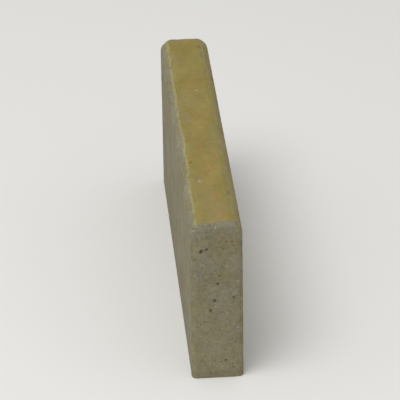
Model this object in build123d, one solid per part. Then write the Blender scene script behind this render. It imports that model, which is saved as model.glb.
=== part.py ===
from build123d import *
import os

# A concrete edging kerb, pressed as one stone. Its flat top falls away to both side faces in
# eased shoulders, its end faces have rounded arrises, and its base is square, as such a stone
# leaves its mould. Millimetres, +Z up. The length runs along Y and the width along X. The
# origin is at the middle of the base, on which the stone stands.

# The stone over all
LENGTH = 500.0
WIDTH = 60.0
HEIGHT = 200.0

# The shoulders, the sloped strips between the flat top and the side faces
SHOULDER_WIDTH = 10.0
SHOULDER_DROP = 10.0
CREST_RADIUS = 10.0  # where the flat top turns over into a shoulder
CHEEK_RADIUS = 12.0  # where a shoulder turns down into its side face

# The end faces
END_RADIUS = 6.0  # arris down both upright edges and over the top


def sharp_section():
    """The stone seen from its end, before its corners are eased."""
    side = WIDTH / 2
    crest = side - SHOULDER_WIDTH
    cheek = HEIGHT - SHOULDER_DROP
    right = Polyline((0, 0), (side, 0), (side, cheek), (crest, HEIGHT), (0, HEIGHT))
    return make_face(right + mirror(right, Plane.YZ))


def eased_section():
    """The same section with a round at each end of both shoulders, standing on XZ."""
    section = sharp_section()
    section = fillet(section.vertices().group_by(Axis.Y)[-1], CREST_RADIUS)
    cheek = HEIGHT - SHOULDER_DROP
    cheeks = section.vertices().filter_by_position(Axis.Y, cheek, cheek)
    return Plane.XZ * fillet(cheeks, CHEEK_RADIUS)


def end_arrises(stone):
    """The edges round both end faces, except along the base."""
    ends = stone.faces().filter_by(Plane.XZ)
    return [edge for end in ends for edge in end.edges().sort_by(Axis.Z)[1:]]


def kerb_stone():
    """The whole stone: its section drawn out to its length, with its end arrises rounded."""
    stone = extrude(eased_section(), LENGTH / 2, both=True)
    return fillet(end_arrises(stone), END_RADIUS)


os.makedirs("parts", exist_ok=True)
export_step(kerb_stone(), "parts/kerb_stone.step")
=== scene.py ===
# The looks of a concrete edging kerb: the cast stone with its relief and its finish, on a plain
# stage. Metres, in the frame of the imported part: the length runs along Y, the width along X,
# and the origin is at the middle of the base.
import math
import random
from collections import namedtuple

import bmesh
import bpy
import numpy as np
from mathutils import Matrix, Vector, kdtree, noise


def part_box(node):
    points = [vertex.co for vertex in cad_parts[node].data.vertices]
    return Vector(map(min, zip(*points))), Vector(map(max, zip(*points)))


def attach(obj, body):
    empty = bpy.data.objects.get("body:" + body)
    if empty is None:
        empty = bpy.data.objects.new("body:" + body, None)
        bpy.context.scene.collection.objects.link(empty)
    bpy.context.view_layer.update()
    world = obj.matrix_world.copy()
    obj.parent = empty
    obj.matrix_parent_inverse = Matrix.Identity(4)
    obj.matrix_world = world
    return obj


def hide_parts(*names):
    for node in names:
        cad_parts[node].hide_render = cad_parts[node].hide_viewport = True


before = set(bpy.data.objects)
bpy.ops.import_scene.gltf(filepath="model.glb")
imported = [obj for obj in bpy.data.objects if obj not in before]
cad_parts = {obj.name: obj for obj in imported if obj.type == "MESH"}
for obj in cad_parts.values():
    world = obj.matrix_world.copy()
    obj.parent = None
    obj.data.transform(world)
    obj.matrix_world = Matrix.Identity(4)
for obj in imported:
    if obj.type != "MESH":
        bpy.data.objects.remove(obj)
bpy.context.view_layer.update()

MM = 0.001
LOW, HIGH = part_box("kerb_stone")
WIDTH = HIGH.x - LOW.x
LENGTH = HIGH.y - LOW.y
HEIGHT = HIGH.z - LOW.z

# The stone's rounded forms, as its solid has them
SHOULDER_WIDTH = 10 * MM
SHOULDER_DROP = 10 * MM
CREST_RADIUS = 10 * MM
CHEEK_RADIUS = 12 * MM
END_RADIUS = 6 * MM

# How closely the surface is divided
ROUND_STEP = 1.2 * MM
TOP_STEP = 1.6 * MM
SIDE_STEP = 2.3 * MM
LENGTH_STEP = 2.1 * MM
THINNEST_ROW = 0.6 * MM
RIM_HOLD = 3  # the power with which an end's rows return to the rim's own heights
FINE_CUTS = 2  # extra cuts through each edge near a hole or chip
SHARP_TURN = 50  # degrees between faces that meet in a sharp edge

# Relief of the pressed faces, which only takes away from the plain form
WAVE = 0.35 * MM
WAVE_SIZE = 70 * MM
UNEVEN = 0.3 * MM
UNEVEN_SIZE = 7 * MM
WEAR = 1.0 * MM
WEAR_SIZE = 14 * MM
WEAR_LEVEL = 0.35  # the wear where its noise is even
ARRIS_TURN = 0.07  # how far a normal leaves the flat faces on a full arris
FOOT_REACH = 3.0 * MM  # how far from the rim of the base its wear reaches
OCTAVE_FADE = 1.0  # how fast the finer octaves of the relief weaken
OCTAVE_STEP = 2.0  # how much finer each octave is than the one before
RELIEF_SHIFT = (17.3, 5.9, 11.7)  # how far apart two seeds lie in the relief's noise

# Holes left by air, and chips off the arrises
SIDE_HOLES = 95
END_HOLES = 15
TOP_HOLES = 5
HOLE_RADIUS = (0.9 * MM, 2.4 * MM)
HOLE_DEPTH = 0.75  # of its radius
HOLE_RARITY = 2.5  # how much rarer the wide ones are
LOW_BIAS = 1.35  # how much more of them lie near the base
CHIPS = 26
CHIP_RADIUS = (1.8 * MM, 5.5 * MM)
CHIP_DEPTH = 0.32  # of its radius
RAGGED = 0.5  # how uneven the outlines are
RAGGED_SIZE = 2.2 * MM
SCOOP_WALL = 2.0  # how steeply the walls fall to the floor of a hole
SEED = 11

# The camera, in degrees and metres from the middle of the flat top, and its lens
CAMERA_AZIMUTH = -4.0
CAMERA_ELEVATION = 26.3
CAMERA_DISTANCE = 3.3
CAMERA_ROLL = 0.95
CAMERA_LENS = 250
AIM_HEIGHT = 0.098

# The stage
FLOOR_FULL = 1.4  # the floor is whole up to here, and gone at its reach
FLOOR_REACH = 4.5
FLOOR_ROUGHNESS = 0.9
AMBIENT = 0.60  # the world's strength as light
BACKDROP = 0.77  # and as the camera sees it
LAMP_SIZE = 2.2
LAMP_POWER = 58
LAMP_PLACE = Vector((-1.1, -1.1, 3.2))


def srgb(red, green, blue):
    """A colour written from 0 to 255 on a screen's scale, as the linear values that nodes take."""
    shares = [value / 255 for value in (red, green, blue)]
    linear = [s / 12.92 if s <= 0.04045 else ((s + 0.055) / 1.055) ** 2.4 for s in shares]
    return (*linear, 1.0)


# Colours
OCHRE = srgb(147, 130, 69)
OCHRE_DEEP = srgb(141, 125, 65)
OCHRE_OLIVE = srgb(130, 125, 64)
OCHRE_BROWN = srgb(151, 121, 66)
OCHRE_GREY = srgb(138, 128, 92)
OCHRE_BLOOM = srgb(167, 153, 98)
OCHRE_DAMP = srgb(123, 109, 56)
# a painted highlight: the pale line along each crest, strongest on the left, where the lamp is
CREST_HIGHLIGHT = srgb(157, 150, 104)
SHOULDER_OLIVE = srgb(139, 127, 80)
BUFF = srgb(137, 130, 102)
BUFF_DARK = srgb(127, 120, 91)
FILM = srgb(145, 140, 120)
FILM_COOL = srgb(134, 131, 115)
GRAIN_DARK = srgb(96, 88, 66)
GRAIN_WARM = srgb(152, 131, 92)
GRAIN_PALE = srgb(196, 184, 148)
GRAIN_STRAW = srgb(186, 171, 119)
# painted shade, which darkens the holes and pores
HOLE_SHADE = srgb(72, 66, 50)
FLOOR_PALE = srgb(232, 231, 228)
LIGHT_WHITE = (1, 1, 1, 1)

# Cloudy patterns of the finish, sized in millimetres and drawn out by stretch along X, Y and Z.
# Each is at its least where its noise, from 0 to 1, is under bare, and at its most over full.
Cloud = namedtuple(
    "Cloud", "size seed bare full least most detail stretch",
    defaults=(0.3, 0.7, 0.0, 1.0, 3.0, (1, 1, 1)),
)
BODY_TONE = Cloud(size=60, seed=1)
BODY_OCHRE = Cloud(size=12, seed=2, stretch=(1, 1, 4))
FILM_CLOUD = Cloud(size=32, seed=3, bare=0.35, full=0.68, most=0.6, detail=6)
FILM_STREAK = Cloud(size=6, seed=4, bare=0.5, full=0.8, most=0.4, stretch=(1, 1, 10))
FILM_TONE = Cloud(size=34, seed=5)
FILM_BREAKS = Cloud(size=3, seed=24, full=0.6, least=0.4, detail=4)
TOP_TONE = Cloud(size=24, seed=6, stretch=(1, 2.5, 1))
TOP_OLIVE = Cloud(size=9, seed=7, bare=0.42, full=0.75, most=0.6, detail=4)
TOP_BROWN = Cloud(size=18, seed=9, bare=0.42, full=0.66, detail=4, stretch=(1, 2.5, 1))
TOP_GREY = Cloud(size=26, seed=25, bare=0.4, full=0.68, most=0.45, stretch=(1, 2, 1))
TOP_BLOOM = Cloud(size=22, seed=26, bare=0.42, full=0.72, most=0.26, detail=5, stretch=(1, 2, 1))
TOP_DAMP = Cloud(size=20, seed=27, bare=0.42, full=0.72, most=0.26, detail=5, stretch=(1, 2, 1))
EDGE_OLIVE = Cloud(size=30, seed=8, full=0.6)
LONG_WANDER = Cloud(size=38, seed=21, bare=0.25, full=0.75, least=-1.5, most=1.5)
SHORT_WANDER = Cloud(size=7, seed=22, bare=0.25, full=0.75, least=-0.9, most=0.9, detail=4)
LINE_BREAKS = Cloud(size=18, seed=23, bare=0.25, full=0.55)
PORE_CLUSTERS = Cloud(size=16, seed=17, bare=0.4, full=0.62)
ROUGHNESS = Cloud(size=24, seed=19, least=0.7, most=0.88)
CLOUD_SHIFT = (7.1, 3.7, 5.3)  # how far apart two seeds lie in the clouds' noise

# Spots of the finish in millimetres, none over its radius. They lie on the kept share of points
# that are about size apart.
Spots = namedtuple("Spots", "colour size seed radius kept most")
BODY_GRAINS = (
    Spots(GRAIN_DARK, size=4.2, seed=12, radius=1.9, kept=0.25, most=0.5),
    Spots(GRAIN_WARM, size=5.1, seed=13, radius=2.3, kept=0.2, most=0.4),
    Spots(GRAIN_PALE, size=6.3, seed=14, radius=2.2, kept=0.13, most=0.35),
)
TOP_GRAINS = Spots(GRAIN_STRAW, size=15, seed=15, radius=2.7, kept=0.35, most=0.7)
# the pores' dark colour is painted shade in their pits
PORES = Spots(HOLE_SHADE, size=3.6, seed=16, radius=1.1, kept=0.5, most=0.65)
SMALLEST_SPOT = 0.4  # of the radius
SPOT_WHOLE = 0.65  # how far out a spot is whole, of its own radius
SPOT_CHOICE = 0.02  # how softly spots are kept or left out
CELL_SHIFT = 3.3  # how far apart two seeds lie in the cells' pattern
SPOT_WARP = 0.7  # millimetres by which round spots are bent out of shape
SPOT_WARP_SIZE = 2.2
NOISE_SWING = 0.25  # how far a noise usually strays from its middle, 0.5

# Sand, grit, small lumps, dust and pores. Sizes are in millimetres and heights in reaches of the
# bump. A pair of swings, heights or shares is for the flat top and the bare body.
SAND_SIZE = 1.1
SAND_SWING = (0.07, 0.1)  # how much lighter or darker the colour becomes
SAND_HEIGHT = 0.35
GRIT_SIZE = 2.4
GRIT_SWING = 0.1
LUMP_SIZE = 5
LUMP_NOISE = (0.25, 0.75)  # the part of the lumps' noise that shows in the colour
LUMP_SWING = (0.05, 0.09)
LUMP_HEIGHT = (0.5, 1.2)
DUST_SIZE = 0.7
DUST_HEIGHT = 0.6
PORE_DEPTH = 1.5
PORES_SHOWING = (0.1, 1.0)
BUMP_STRENGTH = 0.8
BUMP_REACH = 0.5 * MM
SPECULAR = 0.25

# Where the finish changes, as the millimetres between which it fades: past the crest or the end,
# above the flat top, or across or along the stone
COLOUR_SPILL = 1.8 * MM  # how far the top's colour runs onto the shoulders
TOP_FADES_ACROSS = (-2, 2.5)
TOP_FADES_ALONG = (-7.5, -3)
UPPER_FACES = (-10, -3)
LINE_STARTS = (-2, 0)
LINE_ENDS = (0.5, 3)
SHOULDER_STARTS = (-2, 3)
SHOULDER_HEIGHTS = (-18, -9)
END_BAND_STARTS = (-8, -4)
END_BAND_HEIGHTS = (-34, -4)
OCHRE_HEIGHTS = (-60, -4)
LEFT_TO_RIGHT = (-14, 14)
OLIVE_ACROSS = (6, 18)
BROWN_MIDDLE = 3
BROWN_ACROSS = (2, 16)
BROWN_ALONG = (-260, 180)

# How strongly each shows, at most or as a pair
CREST_HIGHLIGHT_SHOWS = (0.2, 0.9)  # the painted highlight along the crest, on the right and on the lit left
OLIVE_SHOWS = (0.75, 0.0)  # on the right and on the left shoulder
SHOULDER_FILM = (-0.6, 0.2)  # more or less film, on the right and on the left
BROWN_SHOWS = (0.9, 0.3)  # at the near end and towards the far one
FILM_WORN = (0.1, 0.6)  # the wear at which the film thins, and is gone
OCHRE_MOST = 0.35
EDGE_OLIVE_MOST = 0.45
END_BAND_MOST = 0.5
GRAINS_ON_BODY = 0.65
GRAINS_WHERE_OPEN = 0.6
GRAINS_ANYWHERE = 0.15
# how far painted shade darkens the holes
HOLE_SHADE_MOST = 0.5
CHIP_DULLS = 0.35


# Objects


def add_object(name, data):
    """A new object in the scene, made of the data."""
    added = bpy.data.objects.new(name, data)
    bpy.context.scene.collection.objects.link(added)
    return added


def turn_towards(place, aim):
    """The turn of a camera or lamp that stands at one place and looks at another."""
    return (aim - place).to_track_quat("-Z", "Y").to_matrix()


# Camera


def make_camera():
    """A long lens that looks down the stone's length from above its near end."""
    azimuth = math.radians(CAMERA_AZIMUTH)
    elevation = math.radians(CAMERA_ELEVATION)
    back = Vector((
        math.sin(azimuth) * math.cos(elevation),
        -math.cos(azimuth) * math.cos(elevation),
        math.sin(elevation),
    ))
    place = Vector((0, 0, HIGH.z)) + back * CAMERA_DISTANCE
    turn = turn_towards(place, Vector((0, 0, AIM_HEIGHT)))
    roll = Matrix.Rotation(math.radians(-CAMERA_ROLL), 3, "Z")
    data = bpy.data.cameras.new("camera")
    data.lens = CAMERA_LENS
    camera = add_object("camera", data)
    camera.matrix_world = Matrix.Translation(place) @ (turn @ roll).to_4x4()
    bpy.context.scene.camera = camera


# Stone: the plain form


def spaced(start, end, step):
    """Even places from start to end, no further apart than step, the last one included."""
    return np.linspace(start, end, max(1, math.ceil(abs(end - start) / step)) + 1)


def rounded(centre, radius, start, end):
    """Places round an arc between two angles from +X, and the outward direction at each."""
    angles = spaced(start, end, ROUND_STEP / radius)
    outward = np.column_stack((np.cos(angles), np.sin(angles)))
    return np.array(centre) + radius * outward, outward


def side_profile():
    """Places (x, z) and outward directions up the right side, from the base to the flat top."""
    fall = math.atan2(SHOULDER_DROP, SHOULDER_WIDTH)
    lean = math.pi / 2 - fall
    side = WIDTH / 2
    cheek_z = HEIGHT - SHOULDER_DROP - CHEEK_RADIUS * math.tan(lean / 2)
    crest_x = side - SHOULDER_WIDTH - CREST_RADIUS * math.tan(fall / 2)
    wall = np.array([(side, z) for z in spaced(0, cheek_z, SIDE_STEP)[:-1]])
    wall_out = np.tile((1.0, 0.0), (len(wall), 1))
    cheek, cheek_out = rounded((side - CHEEK_RADIUS, cheek_z), CHEEK_RADIUS, 0, lean)
    crest, crest_out = rounded((crest_x, HEIGHT - CREST_RADIUS), CREST_RADIUS, lean, math.pi / 2)
    reach = np.linalg.norm(crest[0] - cheek[-1])
    shares = spaced(0, 1, ROUND_STEP / reach)[1:-1, None]
    slope = cheek[-1] + (crest[0] - cheek[-1]) * shares
    slope_out = np.tile(crest_out[0], (len(slope), 1))
    outward = np.concatenate((wall_out, cheek_out, slope_out, crest_out))
    return np.concatenate((wall, cheek, slope, crest)), outward


def stations():
    """Places along Y with how far the end arris has turned there: none between the two ends."""
    straight = LENGTH / 2 - END_RADIUS
    turns = spaced(0, math.pi / 2, ROUND_STEP / END_RADIUS)[1:]
    middle = [(y, 0.0) for y in spaced(-straight, straight, LENGTH_STEP)]
    far = [(straight + END_RADIUS * math.sin(turn), turn) for turn in turns]
    near = [(-y, turn) for y, turn in reversed(far)]
    return near + middle + far


def drawn_in(profile, outward, turn):
    """The profile as far inside its full size as the end arris has turned."""
    return profile - outward * END_RADIUS * (1 - math.cos(turn))


def loop_at(y, inner, across):
    """Vertices round the stone: along the base, up the right side, back over the top and down."""
    base = [(share * inner[0, 0], y, 0) for share in across]
    right = [(x, y, z) for x, z in inner[1:]]
    top = [(share * inner[-1, 0], y, inner[-1, 1]) for share in across[::-1][1:]]
    left = [(-x, y, z) for x, z in inner[1:-1][::-1]]
    return base + right + top + left


def tube(loop_count, around):
    """Four-sided faces between each loop and the next."""
    faces = []
    for number in range(1, loop_count):
        before, after = (number - 1) * around, number * around
        for i in range(around):
            j = (i + 1) % around
            faces.append((before + i, after + i, after + j, before + j))
    return faces


def numbered_rim(first, rows, columns):
    """A grid of vertex numbers whose rim is the loop that starts with first."""
    grid = np.zeros((rows + 1, columns + 1), int)
    grid[0] = first + np.arange(columns + 1)
    grid[:, columns] = first + columns + np.arange(rows + 1)
    grid[rows] = first + columns + rows + np.arange(columns + 1)[::-1]
    grid[1:, 0] = first + 2 * (rows + columns) - np.arange(1, rows + 1)
    return grid


def opened_rows(heights):
    """The heights spread out so that no row between them is thin, with the same first and last."""
    opened = np.cumsum(np.maximum(np.diff(heights), THINNEST_ROW))
    return np.concatenate(([0], opened)) / opened[-1] * heights[-1]


def end_grid(places, first, y, inner, across, way):
    """Faces that close one end with rows from side to side. Its inner vertices join places."""
    rows, columns = len(inner) - 1, len(across) - 1
    grid = numbered_rim(first, rows, columns)
    heights = inner[:, 1]
    opened = opened_rows(heights)
    for i in range(1, rows):
        for j in range(1, columns):
            grid[i, j] = len(places)
            share = 1 - abs(across[j]) ** RIM_HOLD
            z = heights[i] + (opened[i] - heights[i]) * share
            places.append((across[j] * inner[i, 0], y, z))
    faces = []
    for i in range(rows):
        for j in range(columns):
            corners = (grid[i, j], grid[i, j + 1], grid[i + 1, j + 1], grid[i + 1, j])
            faces.append(corners if way < 0 else corners[::-1])
    return faces


def plain_form():
    """The stone as a mesh of four-sided faces, with no relief yet."""
    profile, outward = side_profile()
    across = spaced(-1, 1, TOP_STEP / profile[-1, 0])
    around = 2 * (len(profile) + len(across) - 2)
    places = []
    loops = stations()
    for y, turn in loops:
        places += loop_at(y, drawn_in(profile, outward, turn), across)
    faces = tube(len(loops), around)
    for number, way in ((0, -1), (len(loops) - 1, 1)):
        y, turn = loops[number]
        inner = drawn_in(profile, outward, turn)
        faces += end_grid(places, number * around, y, inner, across, way)
    mesh = bpy.data.meshes.new("kerb_stone_cast")
    mesh.from_pydata(places, [], [[int(i) for i in face] for face in faces])
    return mesh


# Stone: the relief


Scoop = namedtuple("Scoop", "centre radius depth chip")


def hole_places(chance):
    """Where the holes lie, on both sides, both ends and the top."""
    tall = HEIGHT - SHOULDER_DROP
    crest = WIDTH / 2 - SHOULDER_WIDTH
    for way in (-1, 1):
        for _ in range(SIDE_HOLES):
            y = chance.uniform(-1, 1) * LENGTH / 2
            yield way * WIDTH / 2, y, tall * chance.random() ** LOW_BIAS
        for _ in range(END_HOLES):
            x = chance.uniform(-1, 1) * WIDTH / 2
            yield x, way * LENGTH / 2, tall * chance.random() ** LOW_BIAS
    for _ in range(TOP_HOLES):
        yield chance.uniform(-1, 1) * crest, chance.uniform(-1, 1) * LENGTH / 2, HEIGHT


def arris_place(chance):
    """A place on one of the shoulders, the end arrises or the long edges of the base."""
    side = chance.choice((-1, 1)) * WIDTH / 2
    end = chance.choice((-1, 1)) * LENGTH / 2
    along = chance.uniform(-1, 1) * LENGTH / 2
    share = chance.random()
    shoulder = side - math.copysign(SHOULDER_WIDTH * share, side)
    slope_height = HEIGHT - SHOULDER_DROP * (1 - share)
    return chance.choice((
        (shoulder, along, slope_height),
        (shoulder, end, slope_height),
        (side * share, end, HEIGHT),
        (side, end, HEIGHT * share),
        (side, along, 0),
    ))


def scoops():
    """Every hole and chip of the stone."""
    chance = random.Random(SEED)
    narrow, wide = HOLE_RADIUS
    found = []
    for place in hole_places(chance):
        radius = narrow + (wide - narrow) * chance.random() ** HOLE_RARITY
        found.append(Scoop(place, radius, radius * HOLE_DEPTH, False))
    for _ in range(CHIPS):
        radius = chance.uniform(*CHIP_RADIUS)
        found.append(Scoop(arris_place(chance), radius, radius * CHIP_DEPTH, True))
    return found


def refine(mesh, all_scoops):
    """Divides the faces round each hole and chip again, so that it keeps its outline."""
    tree = kdtree.KDTree(len(mesh.polygons))
    for face in mesh.polygons:
        tree.insert(face.center, face.index)
    tree.balance()
    near = set()
    for scoop in all_scoops:
        reach = scoop.radius * (1 + RAGGED) + LENGTH_STEP / 2
        near.update(index for _, index, _ in tree.find_range(scoop.centre, reach))
    stone = bmesh.new()
    stone.from_mesh(mesh)
    stone.faces.ensure_lookup_table()
    edges = {edge for index in near for edge in stone.faces[index].edges}
    bmesh.ops.subdivide_edges(stone, edges=list(edges), cuts=FINE_CUTS, use_grid_fill=True)
    uneven = [face for face in stone.faces if len(face.verts) > 4]
    bmesh.ops.triangulate(stone, faces=uneven, ngon_method="BEAUTY")
    stone.to_mesh(mesh)
    stone.free()


def noise_at(places, size, seed, octaves):
    """Smooth noise of about -1 to 1 at each place, whose lumps are as large as size."""
    shift = Vector([seed * step for step in RELIEF_SHIFT])
    return np.array([
        noise.fractal(Vector(place) / size + shift, OCTAVE_FADE, OCTAVE_STEP, octaves)
        for place in places
    ])


def turn_foot(places, normals):
    """Turns the normals smoothly round the rim of the base, and gives the relief's share there.

    A sharp rim moves at a slant, while the faces on both sides of it move straight in or up, and
    would fold. So both turn towards it over the reach of the foot. The share is 1 except on the
    base, where it falls to 0 away from the rim, because the stone stands flat.
    """
    share = np.ones(len(places))
    base = places[:, 2] == 0
    level = places[base, :2]
    past = np.abs(level) - (np.array((WIDTH, LENGTH)) / 2 - END_RADIUS)
    outward = np.sign(level) * np.maximum(past, 0)
    reach = np.linalg.norm(outward, axis=1)
    share[base] = np.clip(1 - (END_RADIUS - reach) / FOOT_REACH, 0, 1)
    turned = share[base] / np.maximum(reach, END_RADIUS - FOOT_REACH)
    normals[base, :2] = outward * turned[:, None]
    normals[base, 2] = -1
    normals[~base, 2] -= np.clip(1 - places[~base, 2] / FOOT_REACH, 0, 1)
    normals /= np.linalg.norm(normals, axis=1)[:, None]
    return share


def arris_share(normals):
    """How much each place lies on a rounded arris: 0 on a flat, 1 where the surface turns most."""
    slope = Vector((SHOULDER_DROP, 0, SHOULDER_WIDTH)).normalized()
    flats = np.array([(1, 0, 0), (0, 1, 0), (0, 0, 1), slope[:], (-slope.x, 0, slope.z)])
    facing = np.abs(normals @ flats.T).max(axis=1)
    return np.clip((1 - facing) / ARRIS_TURN, 0, 1)


def scooped(places, all_scoops):
    """How deep the holes and chips are at each place, and how much of it is hole or chip."""
    ragged = 1 + RAGGED * noise_at(places, RAGGED_SIZE, seed=4, octaves=2)
    depth, hollow, chipped = np.zeros((3, len(places)))
    for scoop in all_scoops:
        distance = np.linalg.norm(places - np.array(scoop.centre), axis=1) * ragged
        bowl = np.clip(1 - (distance / scoop.radius) ** 2, 0, 1)
        floor = np.minimum(1, SCOOP_WALL * bowl)
        if scoop.chip:
            depth += scoop.depth * bowl
            chipped = np.maximum(chipped, floor)
        else:
            depth += scoop.depth * floor
            hollow = np.maximum(hollow, floor)
    return depth, hollow, chipped


def vectors(items, name):
    """That property of a mesh's items, one row for each."""
    values = np.empty(3 * len(items))
    items.foreach_get(name, values)
    return values.reshape(-1, 3)


def carve(mesh, all_scoops):
    """Takes the relief away from the plain form, and keeps what the finish needs to know of it."""
    places = vectors(mesh.vertices, "co")
    normals = vectors(mesh.vertex_normals, "vector")
    share = turn_foot(places, normals)
    depth, hollow, chipped = scooped(places, all_scoops)
    rubbed = np.clip(WEAR_LEVEL + noise_at(places, WEAR_SIZE, seed=3, octaves=3), 0, 1)
    worn = arris_share(normals) * rubbed
    waves = WAVE * (1 + noise_at(places, WAVE_SIZE, seed=1, octaves=1)) / 2
    waves += UNEVEN * (1 + noise_at(places, UNEVEN_SIZE, seed=2, octaves=3)) / 2
    depth += WEAR * worn + share * waves
    mesh.vertices.foreach_set("co", (places - normals * np.maximum(depth, 0)[:, None]).ravel())
    for name, values in (("chipped", chipped), ("hollow", hollow), ("worn", worn)):
        layer = mesh.attributes.new(name, "FLOAT", "POINT")
        layer.data.foreach_set("value", values.astype(np.float32))


def make_stone():
    """The cast stone, which stands for the plain solid."""
    mesh = plain_form()
    all_scoops = scoops()
    refine(mesh, all_scoops)
    carve(mesh, all_scoops)
    mesh.polygons.foreach_set("use_smooth", [True] * len(mesh.polygons))
    mesh.set_sharp_from_angle(angle=math.radians(SHARP_TURN))
    mesh.materials.append(concrete())
    stone = add_object("kerb_stone_cast", mesh)
    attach(stone, "root")
    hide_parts("kerb_stone")


# Node trees


class Nodes:
    """The emptied node tree of a new material or world, with short ways to build in it."""

    def __init__(self, owner):
        owner.use_nodes = True
        self.tree = owner.node_tree
        self.tree.nodes.clear()

    def add(self, kind, inputs=None, **settings):
        """A new node with its settings, and each named input either linked or set."""
        node = self.tree.nodes.new(kind)
        for name, value in settings.items():
            setattr(node, name, value)
        for name, value in (inputs or {}).items():
            if isinstance(value, bpy.types.NodeSocket):
                self.tree.links.new(value, node.inputs[name])
            else:
                node.inputs[name].default_value = value
        return node

    def calculate(self, operation, first, second=0.0, third=0.0):
        """One value worked out from up to three others."""
        inputs = {0: first, 1: second, 2: third}
        return self.add("ShaderNodeMath", inputs, operation=operation).outputs[0]

    def times(self, *values):
        """The product of the values."""
        total = values[0]
        for value in values[1:]:
            total = self.calculate("MULTIPLY", total, value)
        return total

    def sum(self, *values):
        """The sum of the values."""
        total = values[0]
        for value in values[1:]:
            total = self.calculate("ADD", total, value)
        return total

    def size_of(self, value):
        """The value without its sign."""
        return self.calculate("ABSOLUTE", value)

    def rise(self, value, low, high, least=0.0, most=1.0):
        """least where value is under low, most where it is over high, smooth between them."""
        node = self.add(
            "ShaderNodeMapRange",
            {"Value": value, "From Min": low, "From Max": high, "To Min": least, "To Max": most},
            interpolation_type="SMOOTHSTEP",
        )
        return node.outputs["Result"]

    def fall(self, value, low, high):
        """1 where value is under low, 0 where it is over high, smooth between them."""
        return self.rise(value, low, high, 1.0, 0.0)

    def blend(self, share, first, second):
        """The first number where share is 0, the second where it is 1, smooth between them."""
        return self.rise(share, 0, 1, first, second)

    def mix(self, share, first, second):
        """The first colour where share is 0, the second where it is 1."""
        # a Mix node's colours are its inputs 6 and 7, and its output 2
        node = self.add("ShaderNodeMix", {0: share, 6: first, 7: second}, data_type="RGBA")
        return node.outputs[2]

    def scaled(self, vector, amount):
        """The vector, or a colour, times an amount."""
        inputs = {0: vector, "Scale": amount}
        return self.add("ShaderNodeVectorMath", inputs, operation="SCALE").outputs[0]

    def moved(self, vector, step):
        """The vector and another one together."""
        return self.add("ShaderNodeVectorMath", {0: vector, 1: step}, operation="ADD").outputs[0]

    def vary(self, colour, value, reach):
        """The colour made lighter or darker by up to reach, as value goes from 0 to 1."""
        swing = self.calculate("MULTIPLY_ADD", value, 2.0, -1.0)
        return self.scaled(colour, self.calculate("MULTIPLY_ADD", swing, reach, 1.0))

    def stored(self, name):
        """A value kept on the mesh's vertices."""
        return self.add("ShaderNodeAttribute", attribute_name=name).outputs["Fac"]


class Finish(Nodes):
    """A material whose patterns are sized in millimetres, in the stone's own frame."""

    def __init__(self, name):
        self.material = bpy.data.materials.new(name)
        super().__init__(self.material)
        place = self.add("ShaderNodeTexCoord").outputs["Object"]
        self.place = self.scaled(place, 1 / MM)
        self.x, self.y, self.z = self.add("ShaderNodeSeparateXYZ", {0: self.place}).outputs
        self.warped = self.warp(SPOT_WARP, SPOT_WARP_SIZE)

    def warp(self, reach, size):
        """Every place moved by up to about reach, so that round patterns come out uneven."""
        place = self.scaled(self.place, 1 / size)
        node = self.add("ShaderNodeTexNoise", {"Vector": place, "Scale": 1.0})
        swing = self.moved(node.outputs["Color"], (-0.5, -0.5, -0.5))
        return self.moved(self.place, self.scaled(swing, reach / NOISE_SWING))

    def mapped(self, place, scale, shift):
        """The place in a pattern's own scale, shifted as its seed asks."""
        inputs = {"Vector": place, "Scale": scale, "Location": shift}
        return self.add("ShaderNodeMapping", inputs).outputs[0]

    def noise(self, size, seed, detail=3.0, stretch=(1, 1, 1)):
        """Noise from 0 to 1 with lumps of that size in millimetres, drawn out by stretch."""
        scale = [1 / (size * share) for share in stretch]
        place = self.mapped(self.place, scale, [seed * step for step in CLOUD_SHIFT])
        node = self.add("ShaderNodeTexNoise", {"Vector": place, "Scale": 1.0, "Detail": detail})
        return node.outputs[0]

    def cloud(self, pattern):
        """A cloudy pattern's value."""
        value = self.noise(pattern.size, pattern.seed, pattern.detail, pattern.stretch)
        return self.rise(value, pattern.bare, pattern.full, pattern.least, pattern.most)

    def cells(self, size, seed):
        """The distance to the nearest of points size apart, and three chances that it has drawn."""
        place = self.mapped(self.warped, [1 / size] * 3, [seed * CELL_SHIFT] * 3)
        node = self.add("ShaderNodeTexVoronoi", {"Vector": place, "Scale": 1.0})
        chances = self.add("ShaderNodeSeparateColor", {0: node.outputs["Color"]}).outputs
        return node.outputs["Distance"], chances

    def spots(self, pattern):
        """1 on the spots of a pattern, 0 between them."""
        distance, (chosen, varied, _) = self.cells(pattern.size, pattern.seed)
        widest = pattern.radius / pattern.size
        reach = self.blend(varied, widest * SMALLEST_SPOT, widest)
        spot = self.fall(self.calculate("DIVIDE", distance, reach), SPOT_WHOLE, 1)
        left_out = 1 - pattern.kept
        return self.times(spot, self.rise(chosen, left_out, left_out + SPOT_CHOICE))

    def speckle(self, size, seed):
        """A value from 0 to 1 that jumps from one sand grain to the next."""
        return self.cells(size, seed)[1][0]


# Concrete


Zones = namedtuple("Zones", "top bare line shoulder end left above_top")


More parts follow.
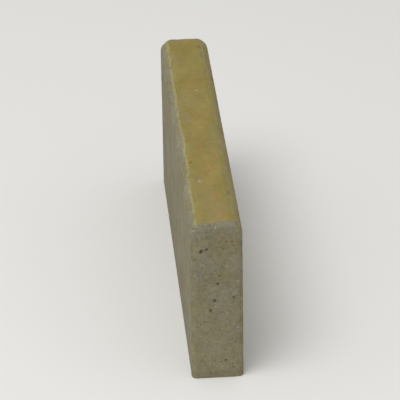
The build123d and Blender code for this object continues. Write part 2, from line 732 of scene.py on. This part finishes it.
def zones(nodes):
    """How much each place belongs to each zone of the finish, and its height above the flat top."""
    crest = WIDTH / 2 - SHOULDER_WIDTH + COLOUR_SPILL
    wander = nodes.sum(nodes.cloud(LONG_WANDER), nodes.cloud(SHORT_WANDER))
    past_crest = nodes.sum(nodes.size_of(nodes.x), wander, -crest / MM)
    past_end = nodes.sum(nodes.size_of(nodes.y), wander, -LENGTH / 2 / MM)
    above_top = nodes.sum(nodes.z, -HEIGHT / MM)
    upper = nodes.rise(above_top, *UPPER_FACES)
    left = nodes.fall(nodes.x, *LEFT_TO_RIGHT)
    across = nodes.fall(past_crest, *TOP_FADES_ACROSS)
    along = nodes.fall(past_end, *TOP_FADES_ALONG)
    # line: a painted highlight, a pale line along each crest
    line = nodes.times(nodes.rise(past_crest, *LINE_STARTS), nodes.fall(past_crest, *LINE_ENDS))
    broken = nodes.times(nodes.blend(left, *CREST_HIGHLIGHT_SHOWS), nodes.cloud(LINE_BREAKS))
    top = nodes.times(across, along, upper)
    return Zones(
        top=top,
        bare=nodes.fall(top, 0, 1),
        line=nodes.times(line, upper, broken),
        shoulder=nodes.times(
            nodes.rise(above_top, *SHOULDER_HEIGHTS), nodes.rise(past_crest, *SHOULDER_STARTS)),
        end=nodes.times(
            nodes.rise(past_end, *END_BAND_STARTS), nodes.rise(above_top, *END_BAND_HEIGHTS)),
        left=left,
        above_top=above_top,
    )


def film_share(nodes, zone):
    """How much of the body is under its thin film of cement, which wear takes off."""
    at_shoulder = nodes.times(zone.shoulder, nodes.blend(zone.left, *SHOULDER_FILM))
    film = nodes.sum(nodes.cloud(FILM_CLOUD), nodes.cloud(FILM_STREAK), at_shoulder)
    unworn = nodes.fall(nodes.stored("worn"), *FILM_WORN)
    return nodes.times(nodes.rise(film, 0, 1), unworn, nodes.cloud(FILM_BREAKS))


def body_colour(nodes, zone):
    """The plain concrete of the sides, ends and base, with its film."""
    colour = nodes.mix(nodes.cloud(BODY_TONE), BUFF, BUFF_DARK)
    washed = nodes.rise(zone.above_top, *OCHRE_HEIGHTS, 0.0, OCHRE_MOST)
    colour = nodes.mix(nodes.times(washed, nodes.cloud(BODY_OCHRE)), colour, OCHRE_DEEP)
    olive = nodes.times(zone.shoulder, nodes.blend(zone.left, *OLIVE_SHOWS))
    colour = nodes.mix(olive, colour, SHOULDER_OLIVE)
    film = nodes.mix(nodes.cloud(FILM_TONE), FILM, FILM_COOL)
    return nodes.mix(film_share(nodes, zone), colour, film)


def top_colour(nodes):
    """The coloured concrete of the flat top, with its stains laid one over the other."""
    edge = nodes.rise(nodes.x, *OLIVE_ACROSS, 0.0, EDGE_OLIVE_MOST)
    off_middle = nodes.size_of(nodes.sum(nodes.x, -BROWN_MIDDLE))
    along = nodes.rise(nodes.y, *BROWN_ALONG, *BROWN_SHOWS)
    middle = nodes.times(nodes.fall(off_middle, *BROWN_ACROSS), along)
    stains = (
        (OCHRE_OLIVE, nodes.cloud(TOP_OLIVE)),
        (OCHRE_OLIVE, nodes.times(edge, nodes.cloud(EDGE_OLIVE))),
        (OCHRE_BROWN, nodes.times(middle, nodes.cloud(TOP_BROWN))),
        (OCHRE_GREY, nodes.cloud(TOP_GREY)),
        (OCHRE_BLOOM, nodes.cloud(TOP_BLOOM)),
        (OCHRE_DAMP, nodes.cloud(TOP_DAMP)),
    )
    colour = nodes.mix(nodes.cloud(TOP_TONE), OCHRE, OCHRE_DEEP)
    for stain, share in stains:
        colour = nodes.mix(share, colour, stain)
    return colour


def plain_colour(nodes, zone):
    """The top and the body together, with the painted highlight along the crests and the cool bands
    at the ends.
    """
    colour = nodes.mix(zone.top, body_colour(nodes, zone), top_colour(nodes))
    colour = nodes.mix(zone.line, colour, CREST_HIGHLIGHT)
    return nodes.mix(nodes.times(zone.end, END_BAND_MOST), colour, FILM_COOL)


def grained(nodes, colour, zone, sand, lumps):
    """The colour with its sand, grit and coarse grains, which show most where the face is open."""
    opened = nodes.sum(nodes.stored("worn"), nodes.stored("chipped"))
    on_body = nodes.times(zone.bare, GRAINS_ON_BODY)
    showing = nodes.sum(on_body, nodes.times(opened, GRAINS_WHERE_OPEN), GRAINS_ANYWHERE)
    grit = nodes.speckle(GRIT_SIZE, seed=20)
    colour = nodes.vary(colour, sand, nodes.blend(zone.bare, *SAND_SWING))
    colour = nodes.vary(colour, grit, nodes.times(showing, GRIT_SWING))
    colour = nodes.vary(colour, nodes.rise(lumps, *LUMP_NOISE), nodes.blend(zone.bare, *LUMP_SWING))
    for grains in BODY_GRAINS:
        share = nodes.times(nodes.spots(grains), showing, grains.most)
        colour = nodes.mix(share, colour, grains.colour)
    share = nodes.times(nodes.spots(TOP_GRAINS), zone.top, TOP_GRAINS.most)
    return nodes.mix(share, colour, TOP_GRAINS.colour)


def pitted(nodes, colour, pores):
    """The colour with painted shade in its pores and holes, and the dull faces of its chips."""
    colour = nodes.mix(nodes.times(pores, PORES.most), colour, PORES.colour)
    colour = nodes.mix(nodes.times(nodes.stored("hollow"), HOLE_SHADE_MOST), colour, HOLE_SHADE)
    return nodes.mix(nodes.times(nodes.stored("chipped"), CHIP_DULLS), colour, BUFF_DARK)


def fine_relief(nodes, zone, sand, lumps, pores):
    """The normal with what is too fine for the mesh: sand, small lumps, dust and pores."""
    dust = nodes.noise(DUST_SIZE, seed=18, detail=2)
    height = nodes.sum(
        nodes.times(sand, SAND_HEIGHT),
        nodes.times(lumps, nodes.blend(zone.bare, *LUMP_HEIGHT)),
        nodes.times(dust, DUST_HEIGHT),
        nodes.times(pores, -PORE_DEPTH),
    )
    inputs = {"Height": height, "Strength": BUMP_STRENGTH, "Distance": BUMP_REACH}
    return nodes.add("ShaderNodeBump", inputs).outputs[0]


def concrete():
    """Pressed concrete: a coloured flat top on a plain body, with sand, coarse grains and pores."""
    nodes = Finish("concrete")
    zone = zones(nodes)
    sand = nodes.speckle(SAND_SIZE, seed=10)
    lumps = nodes.noise(LUMP_SIZE, seed=11, detail=4)
    few_on_top = nodes.blend(zone.bare, *PORES_SHOWING)
    pores = nodes.times(nodes.spots(PORES), nodes.cloud(PORE_CLUSTERS), few_on_top)
    colour = grained(nodes, plain_colour(nodes, zone), zone, sand, lumps)
    shader = nodes.add("ShaderNodeBsdfPrincipled", {
        "Base Color": pitted(nodes, colour, pores),
        "Roughness": nodes.cloud(ROUGHNESS),
        "Normal": fine_relief(nodes, zone, sand, lumps, pores),
        "Specular IOR Level": SPECULAR,
    })
    nodes.add("ShaderNodeOutputMaterial", {"Surface": shader.outputs[0]})
    return nodes.material


# Stage


def floor_finish():
    """Pale and matt, and thinning out to nothing far from the stone, so that no horizon shows."""
    material = bpy.data.materials.new("floor")
    nodes = Nodes(material)
    place = nodes.add("ShaderNodeTexCoord").outputs["Object"]
    distance = nodes.add("ShaderNodeVectorMath", {0: place}, operation="LENGTH").outputs["Value"]
    gone = nodes.rise(distance, FLOOR_FULL, FLOOR_REACH)
    pale = nodes.add("ShaderNodeBsdfPrincipled", {
        "Base Color": FLOOR_PALE,
        "Roughness": FLOOR_ROUGHNESS,
    })
    clear = nodes.add("ShaderNodeBsdfTransparent")
    both = nodes.add("ShaderNodeMixShader", {0: gone, 1: pale.outputs[0], 2: clear.outputs[0]})
    nodes.add("ShaderNodeOutputMaterial", {"Surface": both.outputs[0]})
    return material


def make_floor():
    """A wide pale floor, which takes the stone's shadow."""
    mesh = bpy.data.meshes.new("floor")
    corners = [(-1, -1), (1, -1), (1, 1), (-1, 1)]
    mesh.from_pydata([(x * FLOOR_REACH, y * FLOOR_REACH, 0) for x, y in corners], [], [(0, 1, 2, 3)])
    mesh.materials.append(floor_finish())
    floor = add_object("floor", mesh)


def make_world():
    """Even light from all round, with a paler backdrop for the camera alone."""
    world = bpy.data.worlds.new("world")
    bpy.context.scene.world = world
    nodes = Nodes(world)
    seen = nodes.add("ShaderNodeLightPath").outputs["Is Camera Ray"]
    strength = nodes.blend(seen, AMBIENT, BACKDROP)
    light = nodes.add("ShaderNodeBackground", {"Color": LIGHT_WHITE, "Strength": strength})
    nodes.add("ShaderNodeOutputWorld", {"Surface": light.outputs[0]})


def make_lamp():
    """One broad soft lamp from the upper left."""
    lamp = bpy.data.lights.new("key", "AREA")
    lamp.shape = "DISK"
    lamp.size = LAMP_SIZE
    lamp.energy = LAMP_POWER
    key = add_object("key", lamp)
    turn = turn_towards(LAMP_PLACE, Vector((0, 0, 0)))
    key.matrix_world = Matrix.Translation(LAMP_PLACE) @ turn.to_4x4()


make_camera()
make_stone()
make_floor()
make_world()
make_lamp()
bpy.context.scene.view_settings.view_transform = "Standard"
